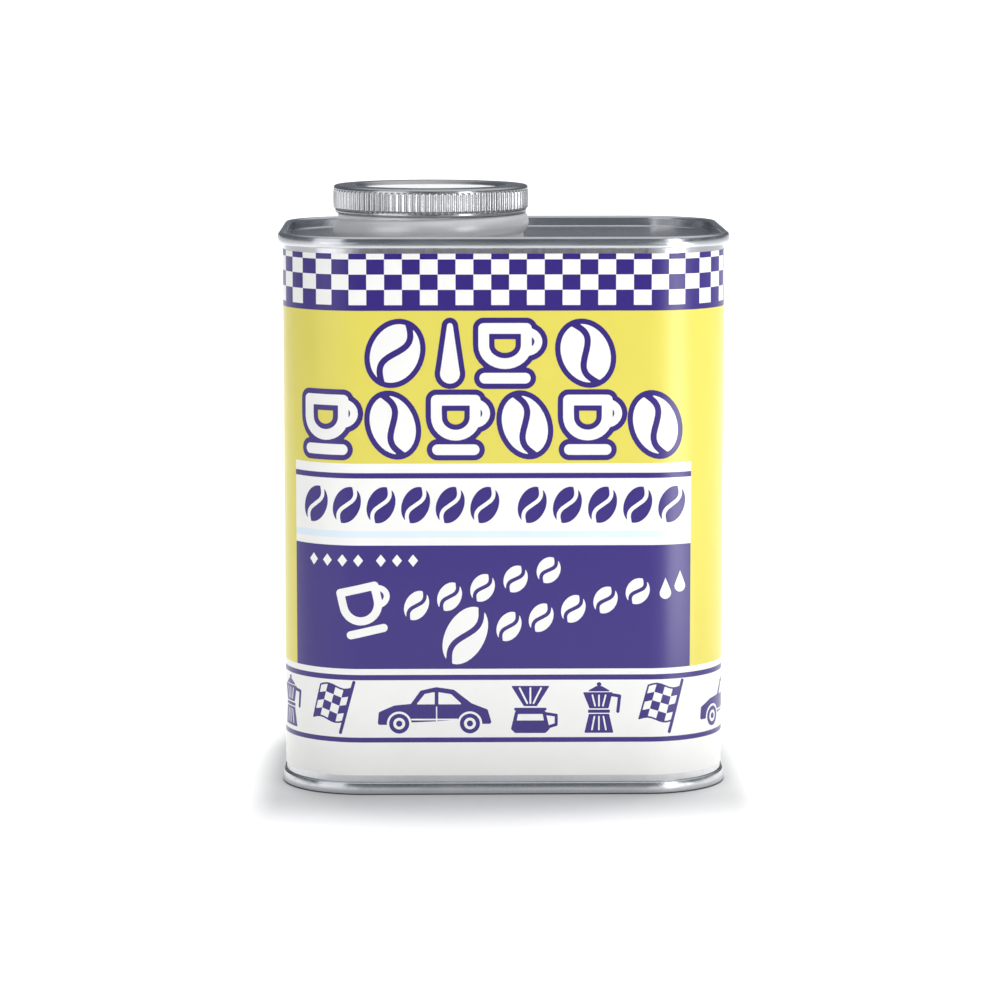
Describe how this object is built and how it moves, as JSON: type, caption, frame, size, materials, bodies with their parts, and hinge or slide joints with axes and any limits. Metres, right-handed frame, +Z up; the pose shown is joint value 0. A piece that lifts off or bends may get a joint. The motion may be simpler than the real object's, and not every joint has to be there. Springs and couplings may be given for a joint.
{
  "type": "coffee tin",
  "caption": "Oblong round-cornered tinplate coffee tin with double-seamed recessed ends, a printed wrap, and an offset screw neck closed by a knurled metal screw cap.",
  "frame": {"origin": "on the supporting surface, under the middle of the tin", "axes": "+X across the front panel to the right as seen from the front, +Y from the front panel to the back, +Z up"},
  "size_m": [0.1104, 0.0852, 0.1463],
  "materials": {
    "tinplate": "bright tinplate with a faint rolling grain",
    "cap_tinplate": "bright tinplate, drawn and knurled",
    "printed_wrap": "coated paper, printed in solid colours, satin gloss",
    "sealing_compound": "matte cured rubber compound",
    "pulpboard": "matte pulpboard",
    "liner_film": "thin white facing film, semi-gloss"
  },
  "bodies": {
    "tin": {"body_wall": "tinplate", "top_end": "tinplate", "bottom_end": "tinplate", "top_seam_compound": "sealing_compound", "bottom_seam_compound": "sealing_compound", "neck": "tinplate", "neck_gasket": "sealing_compound", "label_wrap": "printed_wrap"},
    "liner": {"cap_liner": "pulpboard", "liner_facing": "liner_film"},
    "cap": {"cap_shell": "cap_tinplate"}
  },
  "joints": [
    {"name": "cap_rise", "type": "slide", "parent": "tin", "child": "liner", "axis": [0, 0, 1], "range_m": [0, 0.00847]},
    {"name": "cap_turn", "type": "hinge", "parent": "liner", "child": "cap", "pos_m": [-0.01785, 0, 0.1395], "axis": [0, 0, 1], "range_deg": [0, 720]}
  ],
  "couplings": [
    {"joint": "cap_rise", "follows": "cap_turn", "m_per_rad": 0.00067376}
  ]
}
